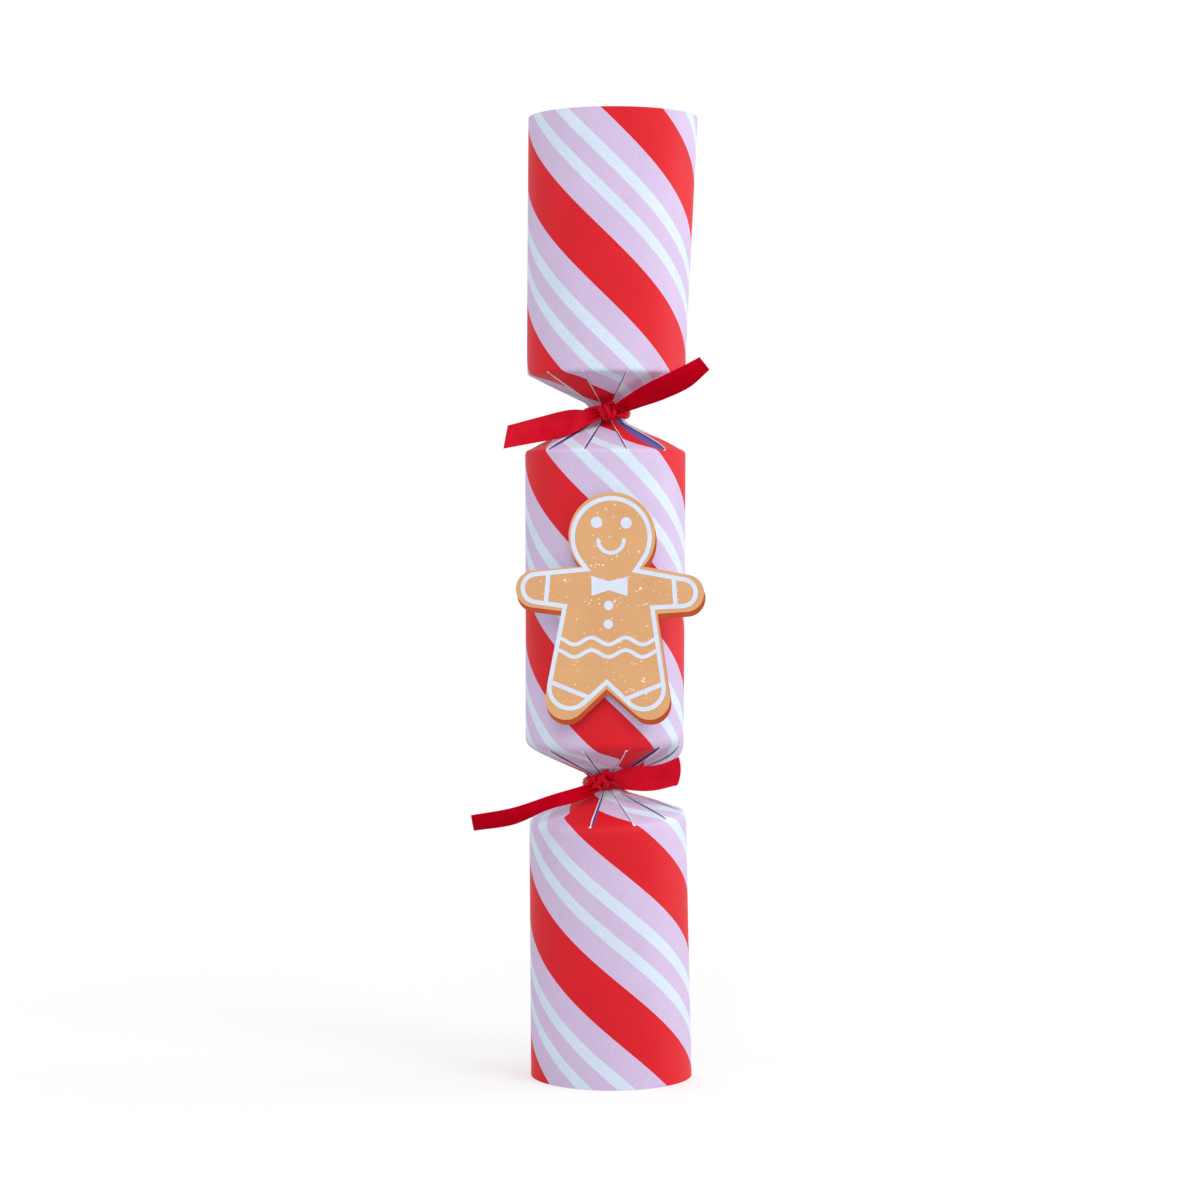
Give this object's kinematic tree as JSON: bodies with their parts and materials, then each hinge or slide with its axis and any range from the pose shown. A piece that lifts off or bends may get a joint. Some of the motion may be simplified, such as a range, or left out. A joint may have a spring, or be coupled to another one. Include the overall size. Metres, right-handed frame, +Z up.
{
  "type": "christmas cracker",
  "caption": "Pull-apart paper table cracker with striped card barrels, gathered slit necks tied with satin ribbon, a raised gingerbread figure and a friction snap inside.",
  "frame": {"origin": "on the tube's axis, at the plane of the lower rim that the cracker stands on", "axes": "+Z up along the tube; the gingerbread figure faces -Y; +X to the right as seen from the front"},
  "size_m": [0.0744, 0.0563, 0.3],
  "materials": {
    "printed_card": "matte print with slanting red, lilac and white stripes",
    "satin_ribbon": "satin",
    "figure_card": "matte print",
    "foam": "closed-cell foam with adhesive faces",
    "snap_card": "plain grey-brown card",
    "glue": "dried glue",
    "snap_composition": "dark friction composition",
    "band_paper": "plain paper",
    "hat_tissue": "thin tissue",
    "motto_paper": "plain paper",
    "top_disc_wood": "stained, turned",
    "top_peg_wood": "plain, turned"
  },
  "bodies": {
    "centre": {"centre_barrel": "printed_card", "centre_lower_strips": "printed_card", "centre_upper_strips": "printed_card", "upper_ribbon_loop": "satin_ribbon", "upper_ribbon_knot": "satin_ribbon", "upper_ribbon_tail_left": "satin_ribbon", "upper_ribbon_tail_right": "satin_ribbon", "lower_ribbon_loop": "satin_ribbon", "lower_ribbon_knot": "satin_ribbon", "lower_ribbon_tail_left": "satin_ribbon", "lower_ribbon_tail_right": "satin_ribbon", "gingerbread_card": "figure_card", "figure_foam_pads": "foam", "paper_hat": "hat_tissue", "motto_slip": "motto_paper", "gift_top_disc": "top_disc_wood", "gift_top_peg": "top_peg_wood"},
    "top_end": {"top_barrel": "printed_card", "top_neck_strips": "printed_card", "snap_strip_top": "snap_card", "snap_glue_top": "glue"},
    "bottom_end": {"bottom_barrel": "printed_card", "bottom_neck_strips": "printed_card", "snap_strip_bottom": "snap_card", "snap_glue_bottom": "glue", "snap_charge": "snap_composition", "snap_band": "band_paper"}
  },
  "joints": [
    {"name": "top_pull", "type": "slide", "parent": "centre", "child": "top_end", "axis": [0, 0, 1], "range_m": [0, 0.08]},
    {"name": "bottom_pull", "type": "slide", "parent": "centre", "child": "bottom_end", "axis": [0, 0, -1], "range_m": [0, 0.08]}
  ]
}
